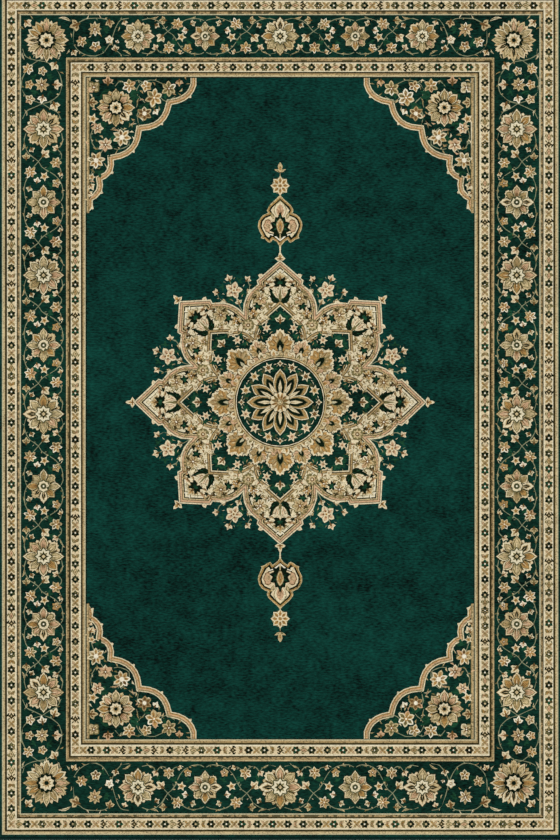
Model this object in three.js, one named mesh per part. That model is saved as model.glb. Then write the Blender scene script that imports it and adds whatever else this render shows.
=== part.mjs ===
// Mosque carpet: a one-piece pile carpet, 2 m by 3 m, with its four edges overcast in binding yarn.
//
// Frame: millimetres, +Z up. The carpet lies flat on z = 0 with its pile upwards, its centre at the
// origin, its width along X and its length along Y.
import * as THREE from "three";

// Driving dimensions
const width = 2000; // over the bindings
const length = 3000; // over the bindings
const thickness = 12; // from the floor to the tips of the pile
const foundation = 2.4; // the woven ground that carries the pile
const bindingWidth = 10.3; // how far the overcasting reaches in from the outline
const bindingHeight = 7;
const bindingWrap = 2; // thickness of the yarn round the foundation
const gap = 0.3; // clearance between neighbouring solids
const cornerRadius = 2; // of the foundation and of the pile, seen from above
const cornerSteps = 5;
const roundSteps = 6; // steps in each rounded stretch of a section

// What follows from them
const tongueBottom = bindingWrap + gap;
const tongueTop = tongueBottom + foundation;
const tongueTip = bindingWrap + 2; // the foundation ends this far inside the outline
const pileSide = bindingWidth + gap;
const pileShoulder = 5; // radius of the worn, rounded rim of the pile
const liftOff = 30; // where the underside leaves the floor, to rise into the binding

const pileMaterial = new THREE.MeshStandardMaterial({
  name: "carpet_pile",
  color: 0x0f4a3c,
  roughness: 0.95,
  metalness: 0,
});
const bindingMaterial = new THREE.MeshStandardMaterial({
  name: "binding_yarn",
  color: 0x0a3a33,
  roughness: 0.85,
  metalness: 0,
});

// A quarter of an ellipse from one direction to another, as points [inset, z] about a centre.
function roundStretch(centreInset, centreZ, radiusInset, radiusZ, fromAngle, toAngle) {
  const points = [];
  for (let step = 0; step <= roundSteps; step++) {
    const angle = fromAngle + ((toAngle - fromAngle) * step) / roundSteps;
    points.push([
      centreInset - radiusInset * Math.cos(angle),
      centreZ + radiusZ * Math.sin(angle),
    ]);
  }
  return points;
}

// The rectangle that lies a given inset inside the carpet's outline, with rounded corners. It starts
// from the middle of the far side, so that one large triangle crosses the centre of a flat face.
function outlineAt(inset, z) {
  const points = [[0, length / 2 - inset, z]];
  const reachX = width / 2 - inset - cornerRadius;
  const reachY = length / 2 - inset - cornerRadius;
  const corners = [
    { x: -reachX, y: reachY },
    { x: -reachX, y: -reachY },
    { x: reachX, y: -reachY },
    { x: reachX, y: reachY },
  ];
  corners.forEach((corner, at) => {
    for (let step = 0; step <= cornerSteps; step++) {
      const angle = ((at + 1 + step / cornerSteps) * Math.PI) / 2;
      points.push([
        corner.x + cornerRadius * Math.cos(angle),
        corner.y + cornerRadius * Math.sin(angle),
        z,
      ]);
    }
  });
  return points;
}

// A closed solid from outlines that run up its edge, the first and the last closed by flat faces.
function solidFromOutlines(rows) {
  const outlines = rows.map((row) => outlineAt(row.inset, row.z));
  const count = outlines[0].length;
  const index = [];
  for (let row = 0; row < outlines.length - 1; row++) {
    for (let point = 0; point < count; point++) {
      const next = (point + 1) % count;
      const low = row * count;
      const high = low + count;
      index.push(low + point, low + next, high + next);
      index.push(low + point, high + next, high + point);
    }
  }
  const lastRow = (outlines.length - 1) * count;
  for (let point = 1; point < count - 1; point++) {
    index.push(0, point + 1, point);
    index.push(lastRow, lastRow + point, lastRow + point + 1);
  }
  const geometry = new THREE.BufferGeometry();
  geometry.setAttribute("position", new THREE.Float32BufferAttribute(outlines.flat(2), 3));
  geometry.setIndex(index);
  geometry.computeVertexNormals();
  return geometry;
}

// The carpet itself: foundation and pile in one piece. The foundation runs on past the pile as a
// thin tongue, which the binding wraps.
function carpet() {
  const rim = roundStretch(
    pileSide + pileShoulder,
    thickness - pileShoulder,
    pileShoulder,
    pileShoulder,
    0,
    Math.PI / 2,
  ).map(([inset, z]) => ({ inset, z }));
  const rows = [
    { inset: liftOff, z: 0 },
    { inset: pileSide, z: tongueBottom },
    { inset: tongueTip, z: tongueBottom },
    { inset: tongueTip, z: tongueTop },
    { inset: pileSide, z: tongueTop },
    ...rim,
  ];
  const mesh = new THREE.Mesh(solidFromOutlines(rows), pileMaterial);
  mesh.name = "carpet";
  return mesh;
}

// The section of a binding, x being its inset from the outline: a flattened roll of wrapped yarn
// with a slot for the foundation on its inner side.
function bindingSection() {
  const halfHeight = bindingHeight / 2;
  const innerRound = 2; // radius of the roll's two inner edges
  const slotEnd = tongueTip - gap;
  const slotBottom = tongueBottom - gap;
  const slotTop = tongueTop + gap;
  const innerX = bindingWidth - innerRound;
  const points = [
    ...roundStretch(halfHeight, halfHeight, halfHeight, halfHeight, -Math.PI / 2, Math.PI / 2),
    ...roundStretch(innerX, bindingHeight - innerRound, innerRound, innerRound, Math.PI / 2, Math.PI),
    [bindingWidth, slotTop],
    [slotEnd, slotTop],
    [slotEnd, slotBottom],
    [bindingWidth, slotBottom],
    ...roundStretch(innerX, innerRound, innerRound, innerRound, Math.PI, (3 * Math.PI) / 2),
  ];
  const apart = (point, other) => Math.hypot(point[0] - other[0], point[1] - other[1]) > 1e-6;
  return points.filter((point, at) => apart(point, points[(at + 1) % points.length]));
}

// One straight binding, mitred at both ends where it meets its neighbours.
function binding(name, quarterTurns) {
  const alongLength = quarterTurns % 2 === 0;
  const edge = (alongLength ? width : length) / 2;
  const reach = (alongLength ? length : width) / 2;
  const shape = new THREE.Shape(bindingSection().map(([x, y]) => new THREE.Vector2(x, y)));
  const geometry = new THREE.ExtrudeGeometry(shape, { depth: 1, steps: 1, bevelEnabled: false });
  const position = geometry.getAttribute("position");
  for (let i = 0; i < position.count; i++) {
    const inset = position.getX(i);
    const height = position.getY(i);
    const end = 2 * position.getZ(i) - 1; // -1 at one end of the extrusion, +1 at the other
    position.setXYZ(i, edge - inset, end * (reach - inset - gap), height);
  }
  geometry.computeVertexNormals();
  const mesh = new THREE.Mesh(geometry, bindingMaterial);
  mesh.name = name;
  mesh.rotation.z = (quarterTurns * Math.PI) / 2;
  return mesh;
}

const mosqueCarpet = new THREE.Group();
mosqueCarpet.add(carpet());
["binding_right", "binding_far", "binding_left", "binding_near"].forEach((name, quarterTurns) => {
  mosqueCarpet.add(binding(name, quarterTurns));
});

export default mosqueCarpet;
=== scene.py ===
"""Mosque carpet: a woven pile carpet with a medallion, four corners and floral borders.

The pattern is drawn with plain shapes, in millimetres from the carpet's centre. A point is a complex
number, its real part along X and its imaginary part along Y. A shape covers the ones before it. The
shapes then become one mesh of the pile, in which each face has the colour of one yarn.
"""
import cmath
import math
import random
from collections import defaultdict
from contextlib import contextmanager

import bpy
import numpy as np
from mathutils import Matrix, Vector
from mathutils.bvhtree import BVHTree
from mathutils.geometry import delaunay_2d_cdt


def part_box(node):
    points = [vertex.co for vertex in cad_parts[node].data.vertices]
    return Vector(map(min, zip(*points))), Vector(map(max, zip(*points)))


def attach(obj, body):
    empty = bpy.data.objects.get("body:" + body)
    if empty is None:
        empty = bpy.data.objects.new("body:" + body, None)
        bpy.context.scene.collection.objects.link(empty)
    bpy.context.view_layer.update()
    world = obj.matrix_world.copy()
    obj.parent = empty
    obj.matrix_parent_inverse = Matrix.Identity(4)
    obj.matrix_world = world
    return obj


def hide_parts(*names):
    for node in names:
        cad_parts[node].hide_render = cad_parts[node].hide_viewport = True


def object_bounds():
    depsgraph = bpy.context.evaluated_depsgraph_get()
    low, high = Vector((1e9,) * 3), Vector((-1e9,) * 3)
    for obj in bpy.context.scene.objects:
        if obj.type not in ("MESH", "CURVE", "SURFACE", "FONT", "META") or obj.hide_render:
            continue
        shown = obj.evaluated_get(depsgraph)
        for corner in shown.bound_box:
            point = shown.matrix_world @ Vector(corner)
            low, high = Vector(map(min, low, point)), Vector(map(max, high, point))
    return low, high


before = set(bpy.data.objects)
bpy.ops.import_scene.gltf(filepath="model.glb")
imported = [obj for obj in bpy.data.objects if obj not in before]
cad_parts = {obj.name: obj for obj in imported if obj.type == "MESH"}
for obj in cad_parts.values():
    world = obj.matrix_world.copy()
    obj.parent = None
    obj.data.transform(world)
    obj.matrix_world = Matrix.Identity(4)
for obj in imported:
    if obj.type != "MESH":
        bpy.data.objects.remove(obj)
cad_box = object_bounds()
MM = 0.001
chance = random.Random(11)

# The yarns: their colour, and how far it varies from tuft to tuft, from 0 to 1
YARNS = {
    "field": ("#06322a", 1.0),
    "ground": ("#082a20", 1.0),
    "shadow": ("#09180a", 0.6),
    "leaf": ("#173f29", 0.9),
    "olive": ("#42452a", 0.8),
    "khaki": ("#786e44", 0.9),
    "brown": ("#6e502b", 0.8),
    "gold": ("#b1894f", 0.8),
    "tan": ("#ab9163", 0.9),
    "sand": ("#c6b184", 0.8),
    "rose": ("#cba680", 0.7),
    "pale": ("#dcc8a0", 0.5),
    "cream": ("#e0d1ac", 0.6),
    "white": ("#efe6cd", 0.3),
    "chalk": ("#e2d7b6", 0.5),
    "stem": ("#8a8c6c", 0.3),
    "umber": ("#3b3319", 0.8),
    "pearl": ("#bcb592", 0.5),
    "beads": ("#a98f64", 2.0),
    "backing": ("#5d6a55", 0.5),
}


def linear(colour):
    """An sRGB colour such as "#0d352d", as the linear numbers that Blender works with."""
    shares = (int(colour[at : at + 2], 16) / 255 for at in (1, 3, 5))
    return [s / 12.92 if s <= 0.04045 else ((s + 0.055) / 1.055) ** 2.4 for s in shares]


# ---------------------------------------------------------------- points and outlines


def cis(degrees):
    return cmath.exp(1j * math.radians(degrees))


def heading(way):
    """The direction of a step, in degrees."""
    return math.degrees(cmath.phase(way))


def rectangle(side, far, near):
    return [-side - 1j * near, side - 1j * near, side + 1j * far, -side + 1j * far]


def disc(radius, corners=12):
    return [radius * cis(360 * k / corners) for k in range(corners)]


def star(tips, reach, notch, first=0):
    """A star with its tips at one radius and its notches at another."""
    return [(notch if k % 2 else reach) * cis(first + 180 * k / tips) for k in range(2 * tips)]


def flower(count, reach, notch):
    """An outline of round petals with small points, for flowers seen from above."""
    step = 360 / count
    shoulder, broad = 0.87 * reach, 0.24 * step
    outline = []
    for k in range(count):
        middle = k * step
        outline.append(shoulder * cis(middle - broad))
        outline.append(reach * cis(middle))
        outline.append(shoulder * cis(middle + broad))
        outline.append(notch * cis(middle + step / 2))
    return outline


# Petals from root to tip: share of the length, share of the half width
PETAL = ((0, 0.3), (0.3, 0.85), (0.55, 1), (0.8, 0.66))
SLIM = ((0, 0.3), (0.55, 1))
SPIKE = ((0, 1),)
POINTED = ((0, 0.3), (0.34, 0.92), (0.58, 1.02), (0.62, 0.82), (0.79, 0.62), (0.81, 0.42))
BLUNT = ((0, 0.3), (0.4, 0.86), (0.72, 1.06), (0.73, 0.76), (0.93, 0.66), (0.89, 0.34))


def petal(root, tip, width, profile=PETAL):
    """A pointed petal along the real axis."""
    side = [complex(root + (tip - root) * along, width / 2 * across) for along, across in profile]
    return [p.conjugate() for p in side] + [complex(tip)] + side[::-1]


def bow(start, end, bulge, steps=6):
    """A bent line that stands off its chord, to the right, by a share of the chord's length."""
    across = -1j * (end - start) * bulge * 4
    shares = [k / steps for k in range(steps + 1)]
    return [start + (end - start) * t + across * t * (1 - t) for t in shares]


def curve(knots, steps=4):
    """A smooth line through a few points."""
    knots = [2 * knots[0] - knots[1], *knots, 2 * knots[-1] - knots[-2]]
    line = []
    for a, b, c, d in zip(knots, knots[1:], knots[2:], knots[3:]):
        for k in range(steps):
            t = k / steps
            line.append(
                b
                + (c - a) * t / 2
                + (2 * a - 5 * b + 4 * c - d) * t**2 / 2
                + (3 * b - a - 3 * c + d) * t**3 / 2
            )
    return line + [knots[-2]]


def beside(line, by, closed=False):
    """The same line moved to its left, mitred at its corners. by is a distance or one for each point."""
    behind = line[-1:] + line[:-1]
    ahead = line[1:] + line[:1]
    if not closed:
        behind[0] = 2 * line[0] - line[1]
        ahead[-1] = 2 * line[-1] - line[-2]
    by = by if hasattr(by, "__len__") else [by] * len(line)
    moved = []
    for before, here, after, far in zip(behind, line, ahead, by):
        come = (here - before) / abs(here - before)
        go = (after - here) / abs(after - here)
        left = 1j * (come + go)
        left /= max(abs(left), 1e-6)
        moved.append(here + far * left / max((left * (1j * come).conjugate()).real, 0.3))
    return moved


def inset(outline, depth):
    """A closed anticlockwise outline moved inwards, without the folds that this makes at sharp tips."""
    if not depth:
        return outline
    edges = list(zip(outline, outline[1:] + outline[:1]))
    return [p for p in beside(outline, depth, closed=True) if distance(p, edges) > 0.97 * depth]


def distance(point, edges):
    """How far a point is from the nearest of some straight edges."""
    nearest = math.inf
    for start, end in edges:
        way = end - start
        share = ((point - start) * way.conjugate()).real / abs(way) ** 2
        nearest = min(nearest, abs(point - start - way * min(max(share, 0), 1)))
    return nearest


def spread(outline):
    """The area inside an anticlockwise outline."""
    return sum((a.conjugate() * b).imag for a, b in zip(outline, outline[1:] + outline[:1])) / 2


def within(outline, points):
    """Which of many points, in an array, lie inside an outline."""
    inside = np.zeros(len(points), bool)
    for a, b in zip(outline, outline[1:] + outline[:1]):
        if a.imag != b.imag:
            between = (a.imag > points.imag) != (b.imag > points.imag)
            crossing = a.real + (points.imag - a.imag) / (b.imag - a.imag) * (b.real - a.real)
            inside ^= between & (points.real < crossing)
    return inside


def ribbon(line, width, taper=0.0):
    """The outline of a line of some width, which may thin out towards both ends."""
    last = len(line) - 1
    half = [width / 2 * (1 - taper * abs(2 * k / last - 1) ** 2) for k in range(last + 1)]
    return beside(line, [-h for h in half]) + beside(line, half)[::-1]


# ---------------------------------------------------------------- drawing


class Drawing:
    """Shapes in their final place, each with its yarn. Later ones cover earlier ones."""

    def __init__(self):
        self.shapes = []
        self.place = complex

    @contextmanager
    def at(self, where=0, turn=0, size=1, flip=False):
        """What is drawn inside is mirrored about its real axis, scaled, turned and moved."""
        outer = self.place
        factor = size * cis(turn)
        self.place = lambda p: outer(where + factor * (p.conjugate() if flip else p))
        yield
        self.place = outer

    def mirrored(self):
        """Twice: as it is, and mirrored about the real axis."""
        for flip in (False, True):
            with self.at(flip=flip):
                yield

    def sides(self):
        """Twice: as it is, and mirrored from the right half of the carpet to the left."""
        for flip, turn in ((False, 0), (True, 180)):
            with self.at(flip=flip, turn=turn):
                yield

    def around(self, count, first=0):
        """Once for each of some directions evenly round the origin."""
        for k in range(count):
            with self.at(turn=first + 360 * k / count):
                yield

    def fill(self, outline, yarn, where=0, turn=0):
        """Adds one shape, turned and moved."""
        points = [self.place(where + cis(turn) * p) for p in outline]
        self.shapes.append((points if spread(points) > 0 else points[::-1], yarn))

    def nest(self, outline, *layers):
        """One outline filled again and again, each time further in. A layer is (inset, yarn)."""
        for depth, yarn in layers:
            self.fill(inset(outline, depth), yarn)


art = Drawing()


def petals(*rows):
    """Petals along the real axis, each over the one before: root, tip, width, any profile, and yarn."""
    for *sizes, yarn in rows:
        art.fill(petal(*sizes), yarn)


# ---------------------------------------------------------------- motifs

WARM = ("tan", "gold", "rose", "sand", "tan")
ROSETTE_RIMS = ("cream", "sand", "pale")
ROSETTE_INSIDES = ("tan", "sand", "rose", "gold", "sand", "rose", "kite")
DEEPER = {"tan": "khaki", "gold": "brown", "sand": "khaki", "rose": "brown"}
RIMS = ("cream", "sand", "white", "sand", "cream", "rose")  # of the petals of small flowers
SHADES = ("brown", "gold", "khaki", "gold", "tan", "gold")  # inside them
LEAFLETS = ("sand", "khaki", "leaf", "leaf", "stem", "tan")


# The middles of rosettes, from the outside in
HEARTS = {
    "wheel": (
        (star(12, 0.45, 0.37), "shadow"), (flower(9, 0.34, 0.26), "cream"), (star(9, 0.23, 0.13), "tan"),
        (disc(0.1, 6), "shadow"),
    ),
    "star": (
        (star(8, 0.46, 0.34), "olive"), (star(8, 0.4, 0.28), "chalk"), (star(8, 0.27, 0.15), "khaki"),
        (star(4, 0.2, 0.12), "shadow"), (star(4, 0.1, 0.06), "sand"),
    ),
    "ring": (
        (disc(0.36, 16), "olive"), (flower(8, 0.33, 0.26), "cream"), (disc(0.18, 9), "olive"),
        (disc(0.06, 5), "white"),
    ),
}


def rich_petal(tip, width, profile, inside):
    """A petal of a large rosette: a dark edge, a pale rim, a warm middle and lines along it."""
    root = 0.28
    petals(
        (root, tip * 1.02, width * 1.16, "umber"),
        (root, tip, width, profile, chance.choice(ROSETTE_RIMS)),
    )
    if inside == "kite":
        petals(
            (root, 0.84 * tip, 0.66 * width, SLIM, "tan"),
            (root, 0.78 * tip, 0.46 * width, SLIM, "shadow"),
            (root, 0.68 * tip, 0.16 * width, SPIKE, "sand"),
        )
        return
    petals((root, 0.91 * tip, 0.82 * width, "khaki"), (root, 0.88 * tip, 0.72 * width, SLIM, inside))
    for side in (-1j, 1j):
        end = tip * 0.76 + 0.17 * side * width
        art.fill([root + 0.03 * side * width, end, root + 0.2 * side * width], DEEPER[inside])
    petals((root, 0.7 * tip, 0.16 * width, SPIKE, chance.choice(("cream", "brown", "umber"))))


def rosette(reach, count=8, heart="wheel", tucked=0.93, cardinal=1.0, diagonal=0.93):
    """A large border flower with a second ring of petals that shows between those of the first."""
    step = 360 / count
    with art.at(size=reach):
        for _ in art.around(count, step / 2):
            petals(
                (0.34, tucked + 0.02, 3.2 / count, "umber"),
                (0.34, tucked, 2.8 / count, chance.choice(ROSETTE_RIMS)),
                (0.4, tucked - 0.1, 1.5 / count, SLIM, "gold"),
                (0.4, 0.74, 0.7 / count, SPIKE, "umber"),
            )
        for k in range(count):
            inside = chance.choice(ROSETTE_INSIDES)
            length = diagonal if k * step % 90 else cardinal
            with art.at(turn=k * step):
                rich_petal(length, 3.5 / count, BLUNT if k % 4 == 3 else POINTED, inside)
        for outline, yarn in HEARTS[heart]:
            art.fill(outline, yarn)


def blossom(reach, count=6, outside="", heart="gold", inside="", edge=""):
    """A small round flower, its petals not quite alike."""
    turns = [90 + 360 * k / count + chance.uniform(-5, 5) for k in range(count)]
    with art.at(size=reach):
        if edge:
            for turn in turns:
                art.fill(petal(0.1, 1.1, 4.4 / count), edge, turn=turn)
        for turn in turns:
            length = chance.uniform(0.88, 1.05)
            rim = outside if chance.random() < 0.5 and outside else chance.choice(RIMS)
            with art.at(turn=turn):
                petals(
                    (0.1, length, 3.6 / count, rim),
                    (0.15, 0.84 * length, 2.3 / count, SLIM, inside or chance.choice(SHADES)),
                    (0.2, 0.62 * length, 0.9 / count, SPIKE, "brown"),
                )
        art.fill(star(count, 0.3, 0.2, 90), heart)
        art.fill(disc(0.13, 5), "white")


def star_flower(reach, count=6, outside="cream", heart="gold"):
    """A small flower with pointed petals."""
    art.fill(star(count, reach, 0.48 * reach), outside)
    art.fill(star(count, 0.56 * reach, 0.3 * reach), heart)
    art.fill(disc(0.17 * reach, 5), "brown")


def half_flower(reach, outside="cream", inside=""):
    """A flower seen from its side: three petals and a calyx, opening along the real axis."""
    with art.at(size=reach):
        art.fill(star(3, 0.6, 0.3, 60), "olive")
        for turn, length in ((-64, 0.86), (64, 0.86), (0, 1.0)):
            with art.at(turn=turn):
                middle = inside or chance.choice(WARM)
                petals((-0.1, length, 0.62, outside), (0, 0.72 * length, 0.34, SLIM, middle))
        art.fill(petal(-0.45, 0.34, 0.42, SLIM), "brown")


def leaf(length, yarn="sand", bend=0.22):
    """A small curled leaf along the real axis, long ones with a darker lower edge."""
    back = bow(0, complex(length), bend, 4)
    front = bow(complex(length), 0, -bend * 0.2, 4)
    art.fill(back + front[1:-1], yarn)
    if length > 19:
        art.fill(bow(0, complex(length * 0.9), bend * 0.9, 3) + [length * (0.5 - 0.1j)], "khaki")


def sprig(reach, yarn="leaf", lobes=4, opening=150):
    """A leaf of several pointed lobes that opens along the real axis."""
    for k in range(lobes):
        turn = opening * (k / (lobes - 1) - 0.5)
        tip = reach * (1 - 0.0016 * abs(turn))
        art.fill(petal(-0.15 * reach, tip, 0.46 * reach), yarn, turn=turn)


def scroll(reach, yarn="khaki", width=3.2):
    """A curled stroke that starts along the real axis."""
    turns = (-1.0, -0.75 + 0.35j, -0.2 + 0.62j, 0.42 + 0.5j, 0.66 + 0.02j, 0.3 - 0.36j, -0.1 - 0.16j)
    art.fill(ribbon(curve([reach * p for p in turns], 3), width, 0.5), yarn)


def knob(reach, outside="sand", inside="brown"):
    """A round bud with a dark middle."""
    art.fill(disc(reach, 9), outside)
    art.fill(disc(0.55 * reach, 7), inside)
    art.fill(disc(0.24 * reach, 5), "white")


MOTIFS = {
    "blossom": blossom,
    "star": star_flower,
    "half": half_flower,
    "leaf": leaf,
    "sprig": sprig,
    "scroll": scroll,
    "knob": knob,
}


def scatter(groups, stretch=1, width=1, grow=()):
    """Draws groups of one motif each: its name, then rows of x, y, size, turn and any options."""
    for motif, *rows in groups:
        larger = dict(grow).get(motif, 1)
        for x, y, size, turn, *options in rows:
            with art.at(complex(x * stretch, y * width), turn):
                MOTIFS[motif](size * larger, *options)


def vines(stems, stretch=1, width=1):
    """Thin stems through a few points each, with small leaves at both sides by turns."""
    for knots in stems:
        line = curve([complex(p.real * stretch, p.imag * width) for p in knots], 3)
        art.fill(ribbon(line, 2.6, 0.15), "stem")
        for k in range(3, len(line) - 3, 3):
            side = 1 if k % 2 else -1
            with art.at(line[k], heading(line[k + 1] - line[k]) + 50 * side):
                length = chance.uniform(7, 12)
                leaflet = [0, length * (0.5 - 0.22j), length, length * (0.5 + 0.22j)]
                art.fill(leaflet, chance.choice(LEAFLETS))


# ---------------------------------------------------------------- borders

# Nested frames from the outside in: yarn, and how far they reach to the sides, far end and near end
FRAMES = (
    ("pearl", 982, 1486, 1479.4),
    ("sand", 978.6, 1481.6, 1476),
    ("umber", 971.8, 1474, 1468.4),
    ("chalk", 964.4, 1466, 1461.4),
    ("pale", 960, 1461, 1457.4),
    ("chalk", 934.9, 1436.1, 1426.3),
    ("umber", 930.2, 1431.6, 1422),
    ("beads", 926.6, 1426.2, 1416.5),
    ("pearl", 920, 1418.6, 1408.8),
    ("ground", 915.4, 1414.7, 1404.4),
    ("sand", 755.6, 1264.2, 1220),
    ("tan", 753.5, 1261, 1216),
    ("beads", 750.4, 1257, 1211),
    ("umber", 746.4, 1251.8, 1205.8),
    ("chalk", 739, 1247, 1200.8),
    ("pale", 735.2, 1243.2, 1196),
    ("chalk", 710.2, 1217, 1167.6),
    ("umber", 703.6, 1214, 1161.8),
    ("tan", 697.6, 1208.6, 1155.2),
    ("sand", 694, 1203.5, 1148.5),
    ("pearl", 690, 1199, 1146),
    ("shadow", 687, 1196.4, 1143),
    ("field", 683, 1192.8, 1140.6),
)
OUTER_GUARD = (948.9, 1448.5, 1442.2)  # the middle of the two pale stripes
INNER_GUARD = (723.2, 1230.5, 1181)
GUARD_PITCH = 27.5


def frames():
    for yarn, *reach in FRAMES:
        art.fill(rectangle(*reach), yarn)


DARK_PAIRS = (("shadow", "umber"), ("shadow", "olive"), ("leaf", "umber"), ("olive", "shadow"))


def dark_flower():
    """Six dark petals round a white point, longer along the stripe."""
    art.fill(disc(9, 6), "khaki")
    yarns = chance.choice(DARK_PAIRS)
    for k in range(6):
        art.fill(petal(2.5, 16 if k % 3 else 17, 11.5, SLIM), yarns[k % 2], turn=60 * k)
    art.fill(disc(3.8, 6), "white")


def ringed_flower():
    """A round flower of olive petals with pale lines on them."""
    for k in range(6):
        with art.at(turn=60 * k):
            line = chance.choice(("khaki", "tan", "shadow"))
            petals((1, 16 if k % 3 else 17, 13, SLIM, "olive"), (5, 13, 5, SLIM, line))
    art.fill(disc(4.6, 6), "umber")
    art.fill(disc(2.8, 5), "white")


def dark_cross():
    for k in range(4):
        art.fill(petal(1, 15, 13, SLIM), "shadow" if k else "olive", turn=90 * k)
    art.fill(star(4, 4.5, 3), "sand")
    for turn in (45, 135, 225, 315):
        art.fill(petal(6, 17, 5.5, SLIM), "olive", turn=turn)


def dark_diamond():
    art.fill(star(4, 13, 7), "umber")
    art.fill(disc(3, 4), "sand")
    for _ in art.mirrored():
        art.fill(petal(-8, 8, 7, SLIM), "shadow", 4 + 12j, 150)
        art.fill(petal(-2, 12, 5, SLIM), "olive", -7 + 6j, 140)


def warm_heart():
    for _ in art.mirrored():
        with art.at(-6 + 1j, 42):
            middle = chance.choice(WARM)
            petals((-2, 19, 13, SLIM, "khaki"), (0, 16, 8.5, SLIM, middle), (2, 11, 3, SLIM, "brown"))
        art.fill(petal(-9, 3, 5, SLIM), "khaki", 2 + 11j, 20)
    art.fill(disc(2.6, 5), "brown")


def warm_flame():
    middle = chance.choice(("tan", "rose", "sand"))
    petals((-12, 15, 18, "khaki"), (-9, 12, 12, middle), (-3, 6, 4.4, SLIM, "brown"))
    for _ in art.mirrored():
        art.fill(petal(-5, 9, 6.5, SLIM), "khaki", -5 + 11j, 25)


def warm_cross():
    for _ in art.around(4, 45):
        middle = chance.choice(("tan", "rose", "gold"))
        petals((1, 18, 9, SLIM, "khaki"), (4, 15.5, 5, SLIM, middle))
    art.fill(star(4, 8, 4), "tan")
    art.fill(disc(2.6, 5), "brown")


DARK_MOTIFS = (dark_flower, dark_flower, dark_flower, ringed_flower, dark_cross, dark_diamond)
WARM_MOTIFS = (warm_heart, warm_flame, warm_cross, warm_cross)


def guard(side, far, near):
    """The small motifs of a pale stripe, dark and warm ones by turns."""
    ends = [side - 1j * near, side + 1j * far, -side + 1j * far, -side - 1j * near]
    for turn, (start, end) in enumerate(zip(ends, ends[1:] + ends[:1])):
        count = 2 * round(abs(end - start) / GUARD_PITCH / 2)
        with art.at(start):
            warm_cross()
        for k in range(1, count):
            motif = chance.choice(WARM_MOTIFS if k % 2 else DARK_MOTIFS)
            back = chance.choice((0, 180))
            with art.at(start + (end - start) * k / count, 90 + 90 * turn + back):
                motif()


# Half of one repeat of the border, from a small rosette at the origin to a large one further along the
# real axis. All tables of flowers are for scatter(), and those of stems for vines().
SPRAY_LENGTH = 255
SPRAY = (
    ("sprig", (120, 20, 20, 100), (86, -26, 18, -40), (176, 26, 18, 20, "leaf", 3),
     (60, 20, 18, 60, "leaf", 3)),
    ("blossom", (105, -47, 22, 10, 7), (138, 44, 21, 0, 6)),
    ("star", (90, 3, 17, 30, 5)),
    ("half", (165, 2, 20, 48)),
    ("blossom", (66, 45, 16, 0, 5, "gold", "brown", "tan")),
    ("half", (72, -23, 14, 10, "white", "rose"), (155, -61, 16, 0, "sand", "khaki"),
     (186, -43, 12, 150, "cream", "brown"), (187, 46, 14, -60, "cream", "rose"),
     (100, 61, 11, 200, "cream", "gold"), (50, -49, 13, 200, "cream", "khaki")),
    ("leaf", (190, 60, 27, 20), (212, -68, 34, -165), (141, -38, 9, 40, "cream"), (30, 66, 20, 10),
     (34, -66, 22, -10), (118, 2, 12, 70, "stem"), (80, 62, 12, 30, "cream")),
)
SPRAY_VINES = (
    (142-18j, 126-32j, 105-47j, 86-56j, 68-65j, 43-68j, 20-66j, 4-60j),
    (142-18j, 124-7j, 113+9j, 95+39j, 80+54j, 62+64j, 43+68j, 20+69j, 4+62j),
    (142-18j, 152-30j, 163-46j, 185-62j, 215-68j, 240-62j),
    (142-18j, 158-4j, 178+24j, 186+46j, 198+62j, 216+68j, 240+64j),
    (184+48j, 172+62j, 156+63j, 140+50j),
    (128+50j, 116+60j, 104+62j),
    (92+4j, 106+12j, 114+8j),
)


# The longer stretch next to a corner rosette, measured from its own middle
CORNER_SPRAY_LENGTH = 318
CORNER_SPRAY = (
    ("sprig", (26, 24, 20, 60), (-24, -24, 20, 200), (24, -26, 18, -60, "leaf", 3),
     (-26, 26, 18, 120, "leaf", 3)),
    ("blossom", (0, 0, 25, 0, 8, "sand", "brown", "tan"), (56, -48, 20, 20, 6),
     (49, 2, 17, 0, 5, "cream", "brown")),
    ("half", (72, 46, 20, -150)),
    ("blossom", (0, -44, 17, 0, 5)),
    ("half", (0, 48, 20, 90, "cream", "rose")),
    ("blossom", (-53, -42, 18, 0, 5, "cream", "brown", "tan")),
    ("half", (-46, 2, 19, 190, "white", "tan"), (-71, 44, 21, 160)),
    ("leaf", (88, -60, 28, -20, "cream"), (46, 62, 22, 120, "tan"), (-108, 62, 26, 200),
     (-88, -62, 26, 160, "cream"), (112, 64, 24, -160, "cream"), (96, -30, 14, 30), (-98, 20, 14, 150)),
)
CORNER_VINES = (
    (86-14j, 72-34j, 54-52j, 26-68j, -4-72j, -34-62j, -56-34j, -68+2j),
    (86-14j, 82+14j, 62+44j, 34+64j, 0+71j, -34+62j, -58+34j, -68+2j),
    (86-14j, 92-40j, 104-60j, 128-68j),
    (86-14j, 94+14j, 102+46j, 128+68j),
    (-68+2j, -84+26j, -98+54j, -124+68j),
    (-68+2j, -82-28j, -94-54j, -122-68j),
)


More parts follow.
